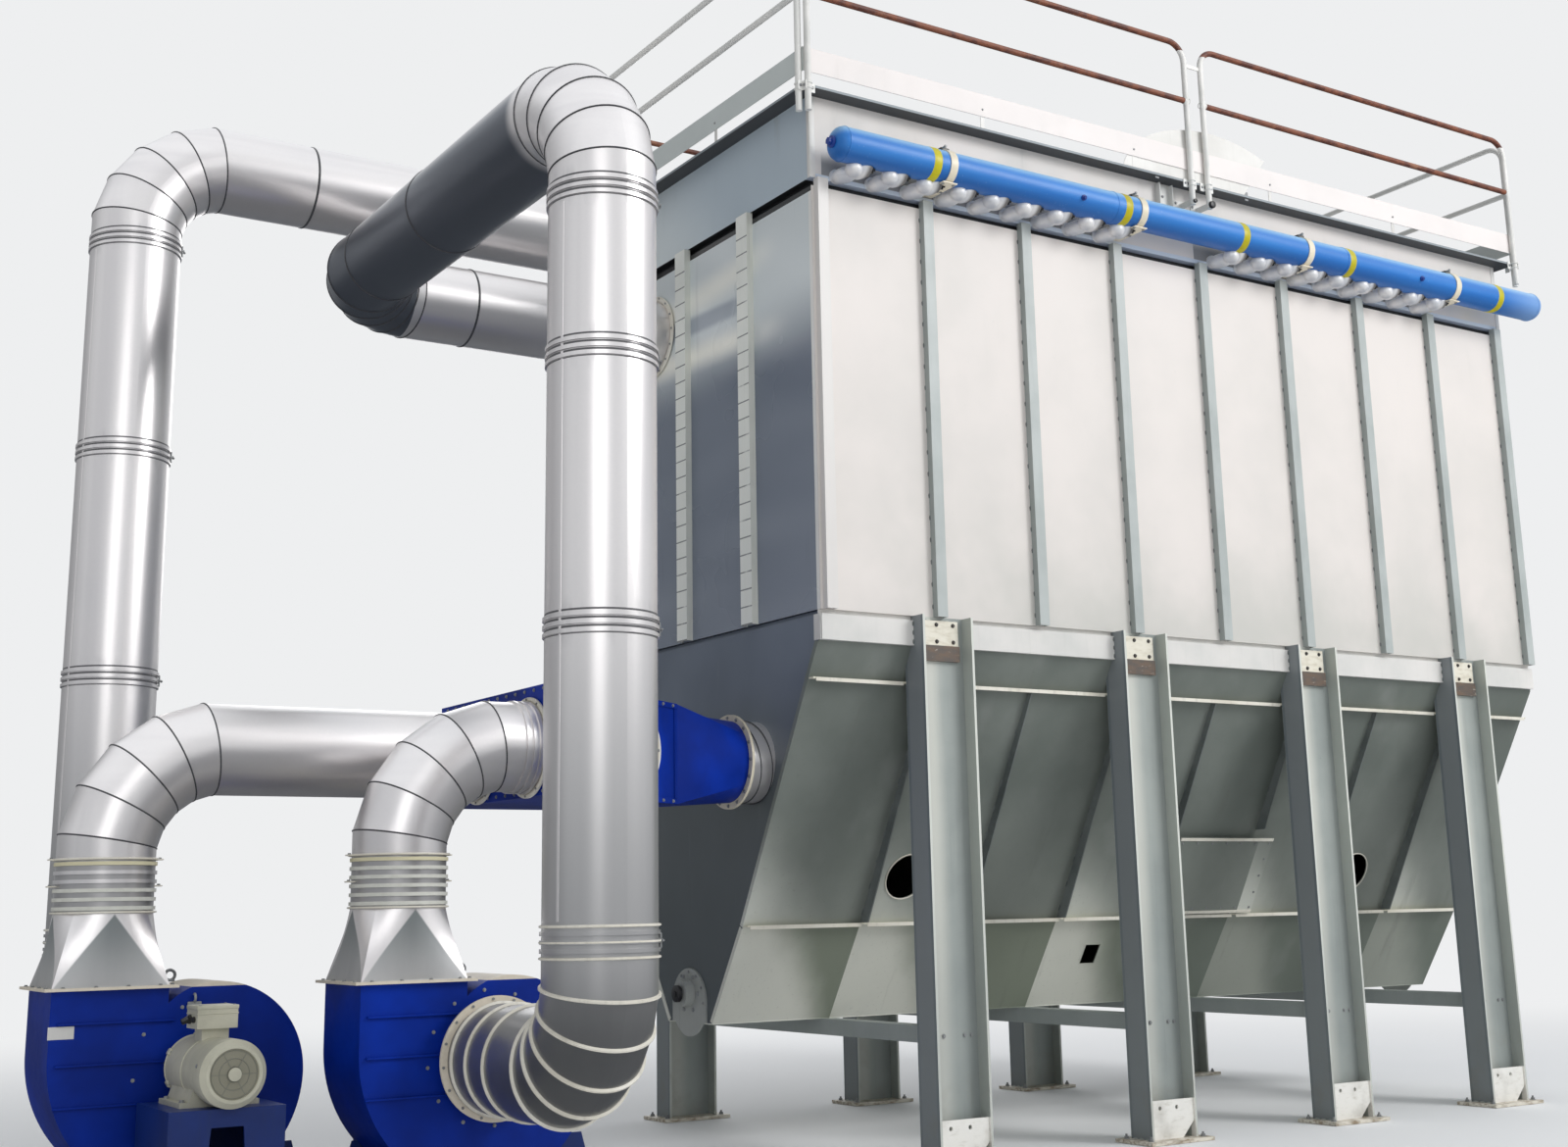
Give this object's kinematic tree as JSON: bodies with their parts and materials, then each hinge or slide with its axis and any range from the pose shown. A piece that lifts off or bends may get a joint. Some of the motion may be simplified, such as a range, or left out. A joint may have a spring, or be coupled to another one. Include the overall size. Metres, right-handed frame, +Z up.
{
  "type": "dust collection plant",
  "caption": "Pulse jet bag filter casing on legs with a V hopper, roof walkway, centrifugal fans beside it and segmented ducts.",
  "frame": {"origin": "centre of the underside of the front left leg's base plate, on the floor", "axes": "+Z up, +X along the casing's front away from the fans, +Y from front to back"},
  "size_m": [9.995, 4.6911, 6.829],
  "materials": {
    "panel_paint": "warm pale grey sheet, lightly weathered",
    "frame_paint": "pale grey-green structural paint",
    "hopper_paint": "grey paint",
    "deck_plate": "chequer plate",
    "rail_paint": "pale grey paint",
    "galvanised": "bright galvanised sheet",
    "fan_blue": "deep blue gloss paint",
    "flange_cream": "cream painted flange",
    "motor_paint": "grey-beige cast housing",
    "manifold_blue": "light blue paint",
    "valve_metal": "cast valve body"
  },
  "bodies": {
    "root": {"casing_front_wall": "panel_paint", "casing_back_wall": "panel_paint", "casing_left_wall": "panel_paint", "casing_right_wall": "panel_paint", "casing_columns": "frame_paint", "casing_end_stiffeners": "frame_paint", "tube_sheet": "hopper_paint", "plenum": "panel_paint", "roof_deck": "deck_plate", "toe_boards": "rail_paint", "handrail_front_left": "rail_paint", "handrail_front_right": "rail_paint", "handrail_left": "rail_paint", "handrail_right": "rail_paint", "handrail_back": "rail_paint", "ring_beam_sides": "panel_paint", "ring_beam_ends": "panel_paint", "legs_front": "frame_paint", "legs_back": "frame_paint", "tie_beams": "frame_paint", "hopper_front_plate": "hopper_paint", "hopper_back_plate": "hopper_paint", "hopper_left_end": "hopper_paint", "hopper_right_end": "hopper_paint", "hopper_floor": "hopper_paint", "hopper_stiffeners": "hopper_paint", "hopper_hatch": "hopper_paint", "screw_end_plates": "hopper_paint", "fan_right_housing": "fan_blue", "fan_right_stand": "fan_blue", "fan_right_motor": "motor_paint", "fan_right_discharge": "galvanised", "fan_left_housing": "fan_blue", "fan_left_stand": "fan_blue", "fan_left_motor": "motor_paint", "fan_left_discharge": "galvanised", "inlet_header": "fan_blue", "inlet_header_fittings": "flange_cream", "hopper_inlet_duct": "galvanised", "riser_right": "galvanised", "riser_left": "galvanised", "air_manifold": "manifold_blue", "manifold_straps": "flange_cream", "pulse_valves": "valve_metal"}
  },
  "joints": []
}
